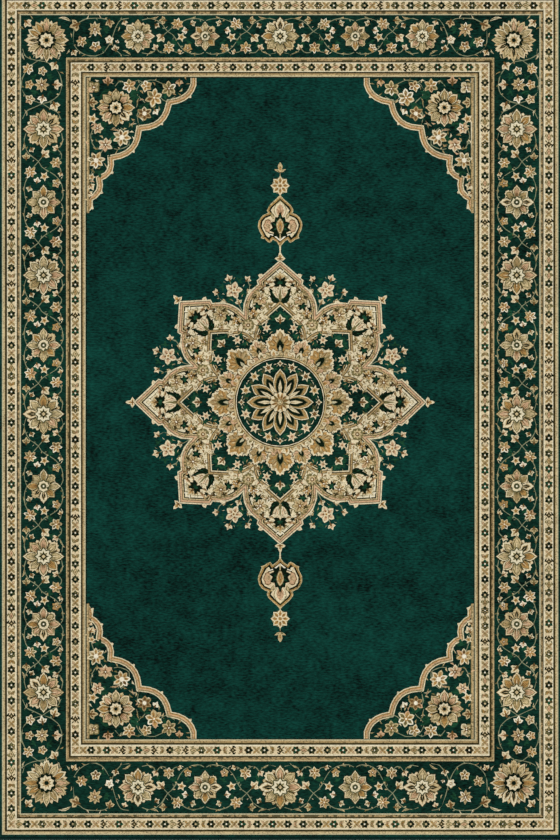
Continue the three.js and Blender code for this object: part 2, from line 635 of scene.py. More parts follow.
# The same stretch at the ends, measured from the middle of the corner rosette
END_SPRAY = (
    ("sprig", (150, -10, 20, 200), (206, 40, 20, 20), (196, -30, 18, -60, "leaf", 3)),
    ("blossom", (171, 43, 27, 0, 8, "sand", "brown", "tan"), (173, -24, 21, 36, 5, "cream", "brown"),
     (124, -6, 21, 18, 6)),
    ("half", (107, 60, 28, 200, "sand", "brown"), (96, -44, 18, -60, "cream", "gold")),
    ("blossom", (222, 2, 18, 0, 5, "cream", "gold", "white")),
    ("half", (223, 70, 22, -80, "sand", "brown"), (275, 70, 15, -70, "cream", "rose"),
     (244, -36, 18, 100, "cream", "brown"), (249, -8, 10, 70, "white")),
    ("leaf", (86, 72, 46, 165, "cream"), (140, 80, 19, 60, "cream"), (192, 82, 18, 120, "cream"),
     (88, 10, 18, 100), (252, 34, 18, 70), (140, -56, 18, 200, "tan"), (298, -58, 34, 150),
     (70, -54, 26, 60, "cream"), (196, 12, 16, 140, "gold"), (148, 10, 15, 40, "cream")),
)
END_VINES = (
    (94+12j, 97-18j, 116-43j, 144-58j, 172-61j, 200-49j, 222-18j, 234+16j, 244+48j, 262+78j, 290+84j),
    (94+12j, 97+40j, 112+66j, 140+82j, 175+85j, 206+82j, 224+70j),
    (228-4j, 240-30j, 262-54j, 292-60j),
)


GROW = {"half": 1.22, "blossom": 1.07, "star": 1.05}


def spray(length, width=1.0):
    """The flowers between a small rosette and a large one, fitted to their distance."""
    vines(SPRAY_VINES, length / SPRAY_LENGTH, width)
    scatter(SPRAY, length / SPRAY_LENGTH, width, GROW)


def corner_spray(length):
    """The flowers between a corner rosette and the first large one along a side."""
    vines(CORNER_VINES, length / CORNER_SPRAY_LENGTH)
    scatter(CORNER_SPRAY, length / CORNER_SPRAY_LENGTH, grow=GROW)


def end_spray(width):
    """The flowers between a corner rosette and the first large one along an end."""
    vines(END_VINES, width=width)
    scatter(END_SPRAY, width=width)


# Rosettes along the right side, far end to near end, and along the right half of both ends: place
# along the border, size, and whether it is a large or a small one
SIDE_ROSETTES = (
    (1012, 72, "large"), (754, 61, "small"), (496, 72, "large"), (249, 61, "small"), (6, 73, "large"),
    (-249, 61, "small"), (-497, 73, "large"), (-736, 61, "small"), (-977, 72, "large"),
)
END_ROSETTES = ((502, 60, "large"), (265, 52, "small"), (0, 68, "large"))
# The far and the near end: the middle of the border, and how much its flowers spread and rosettes grow
END_RUNS = ((1340, 0.92, 1.0), (-1312, 1.15, 1.14))
ROSETTE_KINDS = {"small": ("ring", 0.74, 1.0, 0.9), "large": ("star", 0.86, 1.0, 0.95)}
SIDE_X = 835.5  # the middle of the border along the sides
CORNER_X = 825
CORNER_SPRAY_X = SIDE_X + 6
# At the far and the near end: place, size, and the way to the small flower in the very corner
CORNER_ROSETTES = ((1326, 79, 42), (-1297, 84, -49))
CORNER_SPRAYS = ((1169, 314), (-1129, 330))  # along the sides: the middle, and the length to fill


def border_rosette(reach, kind):
    rosette(reach, 8, *ROSETTE_KINDS[kind])


def end_run(y, width, growth):
    """The border along one end, its right half mirrored to the left."""
    (large_x, *_), (small_x, *_), (_, *middle) = END_ROSETTES
    corner_y = CORNER_ROSETTES[0 if y > 0 else 1][0]
    for _ in art.sides():
        with art.at(1j * y):
            with art.at(small_x, flip=y > 0):
                spray(large_x - small_x, width)
            with art.at(small_x, turn=180, flip=y < 0):
                spray(small_x, width)
            for x, reach, kind in END_ROSETTES[:2]:
                with art.at(x, size=growth):
                    border_rosette(reach, kind)
        with art.at(CORNER_X + 1j * corner_y, turn=180, flip=y > 0):
            end_spray(width)
    with art.at(1j * y, size=growth):
        border_rosette(*middle)


def side_run():
    """The border along the right side, without the corners."""
    for (y, length), turn in zip(CORNER_SPRAYS, (90, -90)):
        with art.at(CORNER_SPRAY_X + 1j * y, turn, flip=turn < 0):
            corner_spray(length)
    for k, (y, _, kind) in enumerate(SIDE_ROSETTES):
        if kind == "small":
            with art.at(SIDE_X + 1j * y, turn=90):
                spray(SIDE_ROSETTES[k - 1][0] - y)
            with art.at(SIDE_X + 1j * y, turn=-90, flip=True):
                spray(y - SIDE_ROSETTES[k + 1][0])
    for y, reach, kind in SIDE_ROSETTES:
        with art.at(SIDE_X + 1j * y):
            border_rosette(reach, kind)


def corner_rosette(reach, turn):
    """The largest rosette, with two leaves and a small flower towards the very corner."""
    for lean in (-1, 1):
        with art.at(1.1 * reach * cis(turn + 16 * lean), turn + 16 * lean):
            leaf(24, "sand", 0.2 * lean)
    with art.at(1.2 * reach * cis(turn), turn + 180):
        half_flower(23)
    rosette(reach, 12, "wheel", 0.9, 1.0, 0.95)


def main_border():
    for run in END_RUNS:
        end_run(*run)
    for _ in art.sides():
        side_run()
        for y, reach, turn in CORNER_ROSETTES:
            with art.at(CORNER_X + 1j * y):
                corner_rosette(reach, turn)


# ---------------------------------------------------------------- corners of the field

# Where the scallops meet, from the end frame to the side frame, measured from the field's corner
CUSPS = (392+0j, 300+95j, 194+187j, 95+291j, 55+361j, 21+433j, 477j)
SCALLOP = 0.2  # how far each one stands out, as a share of its width
# The flowers and leaves, measured from there too
CORNER_FLOWERS = (
    ("sprig", (60, 52, 24, 45), (52, 160, 26, 90), (160, 60, 26, 0), (200, 96, 24, 60), (96, 206, 24, 40),
     (278, 50, 24, 20), (44, 330, 20, 80, "leaf", 3)),
    ("blossom", (25, 33, 20, 45, 4, "khaki", "brown", "sand")),
    ("half", (75, 16, 20, -90, "rose", "brown")),
    ("blossom", (150, 28, 21, 0, 6), (210, 29, 18, 20, 5), (290, 38, 23, 0, 6, "sand", "brown", "khaki")),
    ("half", (327, 12, 15, 90, "rose")),
    ("blossom", (238, 70, 27, 10, 6), (204, 126, 23, 0, 6, "tan", "white", "brown")),
    ("half", (242, 116, 14, 60, "white", "cream"), (16, 87, 20, 0, "sand", "brown")),
    ("star", (22, 145, 17, 0, 5)),
    ("blossom", (38, 178, 19, 30, 6, "cream", "brown", "rose"),
     (66, 236, 22, 0, 6, "cream", "brown", "rose"), (124, 210, 27, 15, 7, "cream", "white"),
     (33, 291, 26, 0, 7, "cream", "white")),
    ("star", (18, 350, 12, 0, 5)),
    ("half", (14, 380, 16, 60), (10, 408, 12, 30)),
    ("leaf", (82, 184, 28, 10, "rose"), (148, 172, 24, -20, "cream"), (160, 178, 22, -70, "rose"),
     (255, 98, 22, 100, "cream"), (180, 98, 22, -80, "tan"), (185, 160, 20, 120, "cream"),
     (262, 20, 20, 30, "tan"), (322, 52, 20, 60), (45, 252, 20, 200, "tan"), (20, 262, 24, 100),
     (60, 300, 18, 60, "cream"), (110, 250, 18, 120), (12, 212, 18, 60, "cream"),
     (108, 12, 18, 10, "cream"), (350, 22, 16, 0)),
)
# Small leaves between the flowers, in rows along the end frame
CORNER_LEAVES = (
    (12+12j, 44+10j, 96+22j, 128+46j, 172+12j, 186+44j, 232+14j, 254+44j, 308+30j, 352+8j),
    (10+56j, 18+112j, 168+60j, 204+52j, 214+94j, 262+80j, 300+56j, 338+36j, 270+60j),
    (172+118j, 186+140j, 228+96j, 226+138j, 172+148j, 150+158j, 186+80j, 244+98j),
    (14+170j, 60+182j, 90+186j, 128+184j, 150+192j, 44+204j, 84+212j, 160+206j),
    (10+234j, 42+226j, 92+236j, 66+262j, 84+268j, 36+262j, 12+290j, 50+312j, 60+284j),
    (12+324j, 36+338j, 26+366j, 10+366j, 24+392j, 6+430j, 110+232j, 146+220j),
)


def corner_leaves():
    for row in CORNER_LEAVES:
        for place in row:
            with art.at(place, chance.uniform(0, 360)):
                yarn = chance.choice(("cream", "sand", "khaki", "tan", "leaf", "rose"))
                leaf(chance.uniform(15, 19), yarn, 0.36)


CORNER_STEMS = (
    (100+30j, 118+12j, 150+22j, 182+8j, 212+26j),
    (176+104j, 182+70j, 176+44j, 196+16j, 240+8j, 288+32j),
    (182+66j, 206+88j, 208+124j),
    (190+104j, 178+130j, 182+158j),
    (254+62j, 278+82j, 312+66j),
    (112+178j, 104+200j, 66+234j, 38+252j, 20+232j, 14+200j, 24+176j),
    (120+176j, 142+196j, 150+234j, 118+252j, 96+250j),
    (66+240j, 48+268j, 34+290j, 22+322j, 14+350j, 18+380j),
)
# The band along the scallops, as (inset, yarn)
CORNER_BAND = (
    (0, "cream"), (3.8, "brown"), (5, "gold"), (9, "rose"), (13, "tan"), (16, "khaki"), (17.6, "cream"),
    (21, "ground"),
)
# Stripes that widen the side frame along a corner: breadth and yarn
CORNER_EDGE = ((9.6, "khaki"), (8.2, "tan"), (3, "sand"))
CORNER_GROWTH = 1.25  # how much larger than in their table the flowers are drawn


def corner():
    """One corner, from the field's corner at the origin, inwards along both axes."""
    line = [CUSPS[0]]
    for start, end in zip(CUSPS, CUSPS[1:]):
        scallop = bow(start, end, SCALLOP)
        line += scallop[1:]
        with art.at(scallop[3], heading(1j * (start - end))):
            art.fill(petal(-6, 6, 12), "cream")
    for depth, yarn in CORNER_BAND:
        edge = [p for p in beside(line, depth) if p.real > 0.5 and p.imag > 0.5]
        edge = [complex(edge[0].real, 0), *edge, complex(0, edge[-1].imag)]
        art.fill(edge + [0], yarn)
    for breadth, yarn in CORNER_EDGE:
        art.fill([0, breadth, breadth + CUSPS[-1], CUSPS[-1]], yarn)
    vines(CORNER_STEMS)
    corner_leaves()
    scatter(CORNER_FLOWERS, grow=dict.fromkeys(MOTIFS, CORNER_GROWTH))
    with art.at(103 + 105j):
        rosette(68, 8, "wheel", 0.93, 1.0, 0.96)


def corners():
    _, side, far, near = FRAMES[-1]
    for _ in art.sides():
        with art.at(side + 1j * far, turn=180):
            corner()
        with art.at(side - 1j * near, turn=180, flip=True):
            corner()


# ---------------------------------------------------------------- medallion

MEDALLION_Y = 47.5
LOBE_TIPS = {0: 517, 90: 502.5}  # along X and along Y; the diagonal lobes have the usual one
LOBE_TIP = 504.5
FINIAL_GAP = 4
VALLEY_TURN = 22.5  # from the axis of a lobe to the valley beside it
VALLEY = 342 * cis(VALLEY_TURN)
SPUR = 430 + 83j  # where the straight side of a lobe ends
ARC_START = 416 + 79j
INNER = 0.715  # the inner star's size, as a share of the outer one's


def lobes():
    """The eight lobes: the turn and the tip of each."""
    for turn in range(0, 360, 45):
        yield turn, LOBE_TIPS.get(turn % 180, LOBE_TIP)


def lobed_star(size):
    """The outline of the eight pointed lobes, anticlockwise."""
    half = [SPUR, *bow(ARC_START, VALLEY, 0.14)]
    outline = []
    for turn, tip in lobes():
        lobe = [*(p.conjugate() for p in half[::-1]), complex(tip), *half[:-1]]
        outline += [size * p * cis(turn) for p in lobe]
    return outline


# Half of one lobe of the pale star, its axis along the real axis
LOBE_FLORALS = (
    ("scroll", (418, 46, 13, 20, "tan"), (398, 84, 13, 200, "tan", 4), (344, 62, 14, 90, "tan"),
     (330, 50, 12, -60, "khaki", 3), (300, 76, 12, 10, "khaki", 3), (372, 98, 12, 140, "tan"),
     (334, 116, 11, 40, "tan"), (442, 24, 8, 60, "khaki", 2.6), (385, 46, 10, 150, "khaki", 3)),
    ("leaf", (430, 40, 18, -130, "tan"), (352, 46, 18, 200, "khaki"), (322, 62, 16, 70, "olive"),
     (384, 74, 14, 10, "brown"), (350, 98, 12, 110, "khaki"), (366, 108, 15, 170, "tan"),
     (392, 98, 12, 190, "khaki")),
    ("blossom", (366, 70, 28, 30, 7, "sand", "brown", "tan", "khaki"),
     (313, 94, 20, 0, 6, "sand", "brown", "gold", "khaki"), (339, 38, 16, 0, 5, "tan", "brown", "khaki")),
    ("half", (424, 36, 11, 60, "rose", "brown")),
    ("sprig", (396, 58, 14, 100, "umber", 3, 130), (412, 44, 12, 20, "shadow", 4, 200),
     (328, 102, 13, 60, "shadow", 4, 200), (372, 90, 12, 200, "umber", 4, 200),
     (300, 96, 12, 250, "umber", 4, 200)),
    ("knob", (399, 60, 5, 0, "brown", "olive")),
    ("sprig", (340, 78, 21, 150, "shadow", 5, 240), (340, 80, 14, 140, "leaf", 4, 200)),
    ("star", (388, 88, 10, 0, 5, "tan", "khaki")),
)
LEAF_ROOT = 352 + 4j
# The dark leaves that start there: where they end, and their width
TIP_LEAVES = ((406 + 40j, 21), (378 + 40j, 17), (362 + 34j, 14), (356 + 24j, 10), (388 + 22j, 12))


# The leafy tracery under the flowers: rows of places across half of a lobe, from its tip to its valley
TRACERY = (
    (462+8j, 448+12j, 438+22j),
    (428+14j, 428+30j, 424+50j),
    (410+10j, 410+30j, 410+50j, 408+68j),
    (392+12j, 388+34j, 390+56j, 392+76j),
    (372+18j, 370+36j, 370+56j, 372+78j, 374+96j),
    (352+30j, 352+54j, 354+78j, 354+96j, 352+112j),
    (332+42j, 334+62j, 336+84j, 334+104j, 330+122j),
    (314+56j, 316+74j, 318+92j, 314+110j),
    (298+72j, 298+88j, 296+104j),
    (282+78j, 281+92j, 276+106j),
    (264+84j, 263+98j),
    (248+92j, 246+100j),
)
LEAF_YARNS = ("sand", "tan", "sand", "tan", "rose", "white")
LEAF_EDGES = ("khaki", "brown", "khaki", "brown")


def tracery():
    """Curled leaves with darker lower edges that fill the pale ground, the same in every lobe."""
    draw_again = random.Random(5)
    for place in (place for row in TRACERY for place in row):
        turn = draw_again.uniform(0, 360)
        length = draw_again.uniform(16, 22)
        yarn = draw_again.choice(LEAF_YARNS)
        edge = bow(-0.5 * length, complex(0.54 * length), 0.36, 4) + [-0.16j * length]
        art.fill(edge, draw_again.choice(LEAF_EDGES), place, turn)
        art.fill(bow(-0.42 * length, complex(0.46 * length), 0.24, 4), yarn, place, turn)


def tulip():
    """Five pale petals that open along the real axis."""
    for turn, length in ((-44, 38), (44, 38), (-20, 44), (20, 44), (0, 50)):
        with art.at(turn=turn):
            petals((-4, length + 2, 16, "brown"), (-4, length, 13, "cream"))
            art.fill(petal(0, 0.85 * length, 7, SLIM), "rose" if turn else "khaki")


def valley_knob():
    """A round flower where two lobes meet."""
    knob(22, "khaki", "sand")
    for _ in art.around(8):
        art.fill(petal(6, 19, 8, SLIM), "sand")
    art.fill(disc(8, 8), "brown")
    art.fill(disc(4, 6), "cream")


def pale_lobe():
    for _ in art.mirrored():
        tracery()
        scatter(LOBE_FLORALS)
    for _ in art.mirrored():
        for tip, width in TIP_LEAVES:
            way = tip - LEAF_ROOT
            vein = (0.2 * width, 0.8 * abs(way), 0.28 * width, SLIM, "leaf")
            with art.at(LEAF_ROOT, heading(way)):
                petals((0, abs(way), width, POINTED, "shadow"), vein)
    with art.at(418):
        sprig(31, "shadow", 7, 220)
        sprig(15, "leaf", 5)
    with art.at(366):
        tulip()
    art.fill(petal(358, 384, 12, SLIM), "khaki")
    with art.at(441):
        half_flower(20, "sand", "gold")
    with art.at(295 * cis(VALLEY_TURN)):
        valley_knob()


def finial():
    """The small cross of petals on a tip, pointing along the real axis."""
    for turn, length in ((-88, 19), (88, 19), (0, 25)):
        with art.at(turn=turn):
            petals((-4, length, 15, "cream"), (-2, length * 0.66, 7, SLIM, "gold"))
    art.fill(star(4, 6, 4), "brown")


CROCKETS = ((444 + 64j, 70, 15), (391 + 100j, 100, 16))


def crockets():
    """Small spurs that grow from the outline of a lobe and lean forward: place, turn and reach."""
    for spot, turn, reach in CROCKETS:
        with art.at(spot, turn):
            petals((-8, reach, 17, "cream"), (-8, 0.62 * reach, 8, "rose"))
            art.fill(petal(-8, 0.35 * reach, 2.6, SLIM), "brown")


# Half of the flowers outside a valley, its axis along the real axis
VALLEY_SPRAY = (
    ("half", (444, 58, 17, 60, "cream", "rose"), (402, 46, 15, 65, "sand", "brown")),
    ("sprig", (404, 20, 20, 40, "leaf", 3), (452, 30, 18, 70, "leaf", 3)),
    ("leaf", (426, 34, 12, 60, "cream"), (392, 16, 15, 40), (376, 12, 18, 30, "leaf"),
     (462, 14, 12, 50, "stem")),
)


def five_petals():
    """The large flower of a valley spray."""
    for _ in art.around(5, 36):
        petals((0, 33, 25, "shadow"), (0, 32, 22, "cream"), (2, 26, 13, "rose"), (2, 17, 7, SLIM, "brown"))
    art.fill(disc(8.5, 8), "cream")
    art.fill(disc(5, 6), "gold")
    art.fill(disc(2, 4), "brown")


def valley_spray():
    for _ in art.mirrored():
        vines([(346 + 2j, 372 + 16j, 396 + 40j, 420 + 58j, 442 + 58j)])
        scatter(VALLEY_SPRAY)
    vines([(344, 380 + 3j, 470)])
    with art.at(380):
        half_flower(17, "cream", "tan")
    with art.at(470):
        half_flower(19, "cream", "rose")
    with art.at(428):
        five_petals()


# The petals of a palmette: turn and length
FAN = ((-98, 0.92), (98, 0.92), (-68, 1.08), (68, 1.08), (-35, 1.06), (35, 1.06), (0, 1.26))


def palmette(reach, yarns, drop=1.0):
    """A fan of toothed petals round a dark drop, opening along the real axis."""
    with art.at(size=reach):
        for turn, length in FAN:
            with art.at(turn=turn):
                petals((0, 1.05 * length, 0.82, BLUNT, "shadow"), (0, length, 0.74, BLUNT, "cream"))
        for turn, length in FAN:
            with art.at(turn=turn):
                art.fill(petal(0, 0.88 * length, 0.58), chance.choice(yarns))
                for side in (-1j, 1j):
                    line = [0.3 + 0.06 * side, 0.7 * length + 0.15 * side]
                    art.fill(ribbon(line, 0.05), chance.choice(("brown", "khaki")))
                art.fill(petal(0.3, 0.7 * length, 0.12, SLIM), "sand")
        petals((-0.42, 0.6 * drop, 0.56, "khaki"), (-0.4, 0.52 * drop, 0.46, "shadow"))
        art.fill(petal(-0.42, 0.12, 0.2), "pearl")


# Half of one lobe of the dark star, its axis along the real axis
INNER_FLOWERS = (
    ("sprig", (300, 20, 18, 70, "leaf", 3), (236, 60, 18, 200), (268, 66, 16, 100),
     (300, 2, 24, 0, "leaf", 5, 200)),
    ("star", (262, 48, 17, 10, 6, "cream", "rose")),
    ("half", (234, 76, 13, 120, "sand", "brown"), (284, 50, 8, 200, "cream", "rose")),
    ("leaf", (290, 30, 18, 60, "khaki"), (250, 26, 15, 130), (240, 54, 12, 60, "cream"),
     (222, 62, 14, 20, "tan"), (320, 10, 13, 40), (278, 62, 12, 130, "tan")),
    ("scroll", (300, 40, 8, 30, "sand", 3), (248, 74, 8, 160, "tan", 3)),
    ("knob", (299, 54, 9, 0, "cream", "tan")),
)


# The bands round the dark disc in the middle, as (radius, yarn)
RING = (
    (166, "khaki"), (164.4, "sand"), (161, "gold"), (159, "umber"), (156.6, "chalk"), (154, "shadow"),
    (150, "ground"),
)


def scroll_ring():
    """The warm ring of small scrolls round the middle of the medallion."""
    art.fill(disc(183, 60), "brown")
    for k in range(48):
        tip = 192 if k % 2 else 185
        inside_tip = 182 if k % 2 else 176
        with art.at(turn=7.5 * k):
            petals(
                (158, tip, 24, "olive"),
                (158, tip - 2, 21, chance.choice(("cream", "sand", "cream", "rose"))),
                (158, inside_tip, 13, SLIM, chance.choice(("tan", "gold", "khaki"))),
                (160, 173, 6, SLIM, chance.choice(("brown", "rose", "sand"))),
            )
    for k in range(24):
        with art.at(173 * cis(15 * k + 3.75), 15 * k + chance.choice((0, 180))):
            art.fill(disc(7.5, 8), "cream")
            art.fill(disc(4.6, 6), chance.choice(("khaki", "brown", "gold")))
            art.fill(disc(2.2, 5), "cream")
    for radius, yarn in RING:
        art.fill(disc(radius, 60), yarn)


# The bands round the two stars, as (inset, yarn)
OUTER_BAND = (
    (0, "cream"), (4.4, "umber"), (6.2, "rose"), (12.6, "umber"), (14.6, "sand"), (18.8, "shadow"),
    (22.8, "chalk"), (30, "khaki"), (31.4, "cream"),
)
INNER_BAND = ((0, "umber"), (2, "tan"), (7.6, "brown"), (9, "umber"), (11, "cream"), (14.8, "ground"))


def medallion():
    for _ in art.around(8, VALLEY_TURN):
        valley_spray()
    for _ in art.around(8):
        for _ in art.mirrored():
            crockets()
    art.nest(lobed_star(1), *OUTER_BAND)
    for turn, tip in lobes():
        with art.at(turn=turn):
            pale_lobe()
            with art.at(tip + FINIAL_GAP):
                finial()
    art.nest(lobed_star(INNER), *INNER_BAND)
    for _ in art.around(8):
        for _ in art.mirrored():
            scatter(INNER_FLOWERS)
        with art.at(288):
            half_flower(24, "cream", "brown")
    for _ in art.around(8, VALLEY_TURN):
        with art.at(194):
            palmette(36, ("tan", "gold", "tan", "rose"), 0.8)
    for _ in art.around(8):
        with art.at(196):
            palmette(51, ("gold", "tan", "gold"))
    scroll_ring()
    centre_ring()
    centre_rosette()


def centre_ring():
    """Small flowers and leaves on the dark disc, four times a quarter."""
    for _ in art.around(4):
        for side in (-1, 1):
            with art.at(118 * cis(9 * side), 80 * side):
                sprig(15, "leaf", 3, 100)
        for angle in (19, 45, 71):
            for side, yarn in ((-1, "leaf"), (1, "olive")):
                with art.at(119 * cis(angle + 8 * side), angle + 60 * side):
                    sprig(17, yarn, 3, 110)
            for side in (-1, 1):
                with art.at(133 * cis(angle + 9 * side), angle + 90 * side):
                    leaf(11, "cream", 0.3 * side)
            with art.at(128.5 * cis(angle), angle):
                star_flower(20, 6, "cream", chance.choice(("gold", "rose", "brown")))
        with art.at(137):
            art.fill(star(4, 12, 6), "cream")
            art.fill(star(4, 6, 4), "brown")
            for side in (-1, 1):
                with art.at(-4 + 3j * side, 130 * side):
                    leaf(13, "sand", 0.2 * side)


# The nested outlines of a petal of the middle rosette: share of its length, width, profile and yarn
CENTRE_PETAL = (
    (1.03, 54, PETAL, "shadow"), (1, 50, PETAL, "cream"), (0.96, 44, PETAL, "khaki"),
    (0.94, 41, PETAL, "gold"), (0.88, 36, PETAL, "tan"), (0.84, 34, PETAL, "khaki"),
    (0.81, 31, PETAL, "shadow"), (0.7, 15, SLIM, "khaki"), (0.68, 12, SLIM, "cream"),
    (0.56, 5, SLIM, "tan"),
)


def centre_rosette():
    """Twelve large petals, and a flower of twelve small ones on them."""
    for first in (30, 60, 0):
        for _ in art.around(4, first):
            petals(*((22, 118 * share, *rest) for share, *rest in CENTRE_PETAL))
    art.fill(flower(12, 41, 35), "shadow")
    art.fill(flower(12, 38.5, 32), "cream")
    for _ in art.around(12, 15):
        art.fill(petal(8, 34, 10), chance.choice(("gold", "khaki", "tan")))
        art.fill(petal(12, 30, 5, SLIM), "brown")
    art.fill(disc(12, 10), "brown")
    art.fill(disc(9.5, 10), "sand")
    art.fill(disc(5.5, 8), "khaki")
    art.fill(disc(3.4, 6), "cream")


# ---------------------------------------------------------------- pendants

# Measured from the tip of the medallion
FLOWER_AT = 262
BUD_AT = 312
# Half of a pendant's outline, from its foot to its tip
PENDANT = (
    (45+0j, 62+12j, 72+26j),
    (72+26j, 64+31j, 61+37j, 64+45j, 72+53j, 75+61j, 77+68j),
    (77+68j, 86+65j, 101+73j, 118+78.5j, 137+76j, 151+68j, 160+58j, 166+43j),
    (166+43j, 175+47j, 188+42j, 198+33j, 210+19j, 219+8j, 229+0j),
)


def mirrored_outline(strokes, steps=3):
    """An anticlockwise outline from the strokes of the half above the real axis."""
    half = [p for knots in strokes for p in curve(knots, steps)[:-1]] + [strokes[-1][-1]]
    return half[::-1] + [p.conjugate() for p in half[1:-1]]


# The dark leaf inside, from its foot to its tip: half of its outline
PENDANT_LEAF = (
    74+0j, 84+9j, 82+26j, 96+22j, 104+39j, 114+27j, 132+35j, 136+20j, 152+17j, 150+8j, 172+0j,
)
# The scalloped petal at each side of it
PENDANT_SIDE = (96+38j, 100+52j, 112+56j, 122+60j, 130+55j, 141+52j, 144+42j, 138+32j)
SIDE_MIDDLE = 118 + 42j
PENDANT_BAND = (
    (0, "sand"), (3, "khaki"), (4.4, "gold"), (7.4, "umber"), (9, "shadow"), (13.4, "cream"),
    (17.6, "pale"),
)


def pendant_side():
    """What lies between the outline and the dark leaf, above the real axis."""
    art.fill([72 + 3j, 84 + 34j, 98 + 44j, 92 + 22j, 84 + 6j], "shadow")
    art.fill(ribbon(curve([66, 78 + 10j, 88 + 26j, 92 + 42j], 3), 4.5, 0.5), "white")
    art.fill(PENDANT_SIDE, "brown")
    art.fill([SIDE_MIDDLE + 0.86 * (p - SIDE_MIDDLE) for p in PENDANT_SIDE], "rose")
    for turn in (55, 90, 125):
        with art.at(118 + 34j, turn):
            petals((2, 21, 5, SLIM, "sand"), (4, 17, 2.4, SPIKE, "brown"))
    with art.at(156 + 27j, 20):
        petals((-12, 13, 13, "khaki"), (-10, 9, 8, "sand"))


def pendant_leaf():
    """The dark leaf in the middle, its green veins and the bud on it."""
    art.fill([p.conjugate() for p in PENDANT_LEAF[:-1]] + [*PENDANT_LEAF[::-1]], "shadow")
    for turn, length in ((-112, 26), (112, 26), (-62, 30), (62, 30), (-28, 34), (28, 34), (0, 46)):
        art.fill(petal(8, length, 8, SLIM), "leaf", 116, turn)
    petals(
        (66, 100, 5, "sand"), (91, 150, 31, "umber"), (94, 147, 26, "sand"), (99, 140, 18, "gold"),
        (104, 130, 8, SLIM, "brown"), (106, 124, 3, SLIM, "cream"),
    )


def pendant_flower():
    """The flower of two rings of petals beyond the pendant's tip."""
    for first, yarn, inside, length in ((22.5, "khaki", "rose", 30), (0, "cream", "gold", 34)):
        for _ in art.around(8, first):
            petals((4, length, 19, yarn), (8, 0.84 * length, 12, inside))
            art.fill(petal(10, 0.8 * length, 5, SPIKE), "brown")
    art.fill(star(8, 12, 8), "cream")
    art.fill(star(8, 8, 5), "gold")
    art.fill(disc(2.6, 5), "brown")


def pendant_bud():
    """The bud between two leaves at the very end, pointing along the real axis."""
    art.fill(disc(7, 8), "umber")
    for turn in (-68, 68):
        with art.at(turn=turn):
            petals((-4, 22, 10, "sand"), (0, 13, 4, SLIM, "khaki"))
    petals((0, 33, 17, "sand"), (3, 22, 9, "gold"))


def pendant():
    """The cartouche, flower and finial beyond a tip of the medallion, along the real axis."""
    art.fill(petal(20, 64, 7), "cream")
    art.nest(mirrored_outline(PENDANT), *PENDANT_BAND)
    for _ in art.mirrored():
        pendant_side()
    petals((146, 211, 46, "khaki"), (146, 208, 41, "cream"), (150, 198, 27, "rose"))
    for turn in (-14, 0, 14):
        art.fill(petal(14, 50 - abs(turn), 4, SPIKE), "brown", 148, turn)
    pendant_leaf()
    art.fill(petal(222, BUD_AT, 4.5), "sand")
    with art.at(FLOWER_AT):
        pendant_flower()
    with art.at(BUD_AT):
        pendant_bud()


def pendants():
    for turn in (90, -90):
        with art.at(LOBE_TIPS[90] * cis(turn), turn):
            pendant()


# ---------------------------------------------------------------- the pile

PILE_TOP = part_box("carpet")[1][2] / MM
SIDE_INSET = 10.6  # from the carpet's outline to the side of its pile
SHOULDER = 5  # how far its rim is rounded over
CORNER_RADIUS = 2
RIM_STEPS = 5
EDGE_STEPS = 24  # divisions along each side of the outline
# The bare foundation that the binding wraps, then the underside: rows of (inset, height)
TONGUE = ((SIDE_INSET, 4.7), (4, 4.7), (4, 2.3), (SIDE_INSET, 2.3), (30, 0))
DOWN = Vector((0, 0, -1))
DRAWN_NEAREST = 0.05  # points nearer than this are one point while the drawing is cut
WOVEN_NEAREST = 0.7  # and in the mesh
STRAIGHT = 1.4  # a point this near the line between its neighbours is left out
STRAIGHT_PASSES = 5
SPILT = 50  # how much more than twice its area a shape covers, if it is taken for its outside
WIDTH, LENGTH = (2 * c / MM for c in (cad_box[1][0], cad_box[1][1]))
# How the UV map is shared out: where it starts and its width, then the same for the heights of its parts
ACROSS_ROOM = (0.01, 0.98)
TOP_ROOM = (0.01, 0.9)
EDGE_ROOM = (0.92, 0.03)
UNDER_ROOM = (0.96, 0.03)


def outline_at(depth):
    """The carpet's outline moved inwards, anticlockwise."""
    x, y = WIDTH / 2 - depth - CORNER_RADIUS, LENGTH / 2 - depth - CORNER_RADIUS
    corner_points = [complex(x, -y), complex(x, y), complex(-x, y), complex(-x, -y)]
    points = []
    for k, (start, end) in enumerate(zip(corner_points, corner_points[1:] + corner_points[:1])):
        out = CORNER_RADIUS * cis(90 * k)
        points.append(start + CORNER_RADIUS * cis(90 * k - 45))
        points += [start + (end - start) * n / EDGE_STEPS + out for n in range(EDGE_STEPS + 1)]
    return points


def edge_rows():
    """Depths and heights from the rim of the pile's top, down its side and under the carpet."""
    rows = []
    for k in range(1, RIM_STEPS + 1):
        angle = math.radians(90 * k / RIM_STEPS)
        depth = SIDE_INSET + SHOULDER * (1 - math.sin(angle))
        rows.append((depth, PILE_TOP - SHOULDER * (1 - math.cos(angle))))
    return rows + list(TONGUE)


def cut(points, edges, faces, nearest):
    """Triangles inside the faces: their vertices, themselves, and the faces that each lies in."""
    made = delaunay_2d_cdt([Vector((p.real, p.imag)) for p in points], edges, faces, 1, nearest, True)
    return [complex(v.x, v.y) for v in made[0]], made[2], made[5]


